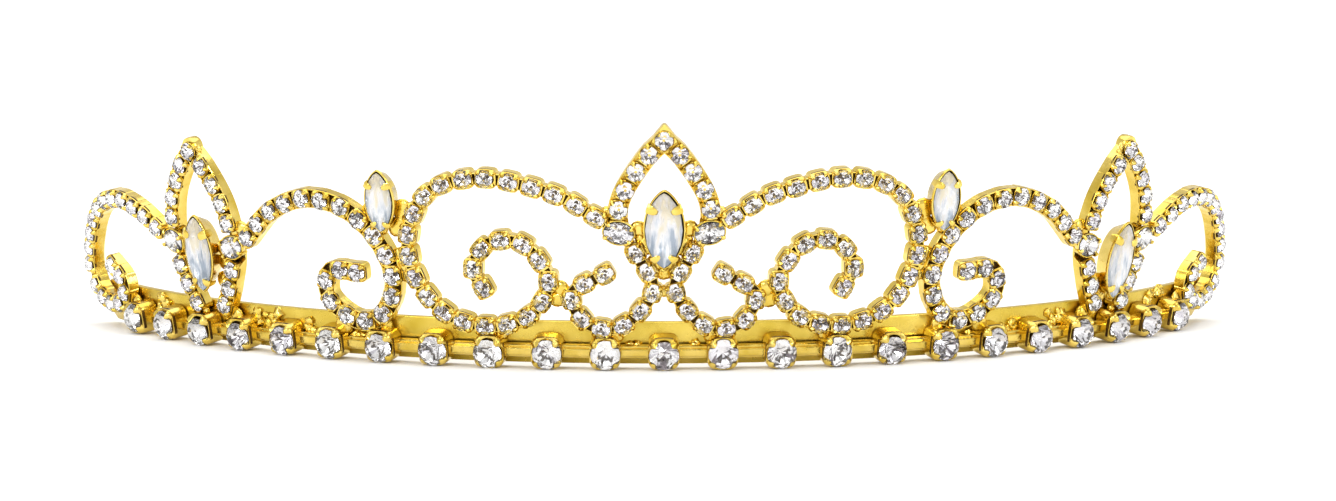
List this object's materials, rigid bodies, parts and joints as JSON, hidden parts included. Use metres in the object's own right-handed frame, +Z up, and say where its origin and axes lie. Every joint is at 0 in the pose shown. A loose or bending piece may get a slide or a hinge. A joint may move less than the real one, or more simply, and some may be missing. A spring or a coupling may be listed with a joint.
{
  "type": "tiara",
  "caption": "Curved open-backed tiara: flat gold headband, a row of large cup-set stones, small-stone chain scrolls, pointed frames and marquise stones.",
  "frame": {"origin": "middle of the object's box, left to right and in depth, at the level it stands on", "axes": "+Z up, -Y the front that the stones face, +X the wearer's left hand side, seen on the right from the front"},
  "size_m": [0.1528, 0.0564, 0.0316],
  "materials": {
    "band_gold": "polished gold plate",
    "cup_gold": "bright polished gold plate",
    "crystal": "faceted glass with a foiled back"
  },
  "bodies": {
    "root": {"headband": "band_gold", "base_row": "cup_gold", "centre_curl_left": "cup_gold", "centre_curl_right": "cup_gold", "big_scroll_left": "cup_gold", "big_scroll_right": "cup_gold", "medium_scroll_left": "cup_gold", "medium_scroll_right": "cup_gold", "end_scroll_left": "cup_gold", "end_scroll_right": "cup_gold", "centre_frame": "cup_gold", "side_frame_left": "cup_gold", "side_frame_right": "cup_gold", "centre_marquise_setting": "cup_gold", "junction_marquise_left_setting": "cup_gold", "junction_marquise_right_setting": "cup_gold", "side_marquise_left_setting": "cup_gold", "side_marquise_right_setting": "cup_gold", "centre_oval_left_setting": "cup_gold", "centre_oval_right_setting": "cup_gold", "inner_oval_left_setting": "cup_gold", "inner_oval_right_setting": "cup_gold", "outer_oval_left_setting": "cup_gold", "outer_oval_right_setting": "cup_gold", "base_stone_01": "crystal", "base_stone_02": "crystal", "base_stone_03": "crystal", "base_stone_04": "crystal", "base_stone_05": "crystal", "base_stone_06": "crystal", "base_stone_07": "crystal", "base_stone_08": "crystal", "base_stone_09": "crystal", "base_stone_10": "crystal", "base_stone_11": "crystal", "base_stone_12": "crystal", "base_stone_13": "crystal", "base_stone_14": "crystal", "base_stone_15": "crystal", "base_stone_16": "crystal", "base_stone_17": "crystal", "base_stone_18": "crystal", "base_stone_19": "crystal", "base_stone_20": "crystal", "base_stone_21": "crystal", "base_stone_22": "crystal", "base_stone_23": "crystal", "centre_marquise_stone": "crystal", "junction_marquise_left_stone": "crystal", "junction_marquise_right_stone": "crystal", "side_marquise_left_stone": "crystal", "side_marquise_right_stone": "crystal", "centre_oval_left_stone": "crystal", "centre_oval_right_stone": "crystal", "inner_oval_left_stone": "crystal", "inner_oval_right_stone": "crystal", "outer_oval_left_stone": "crystal", "outer_oval_right_stone": "crystal"}
  },
  "joints": []
}
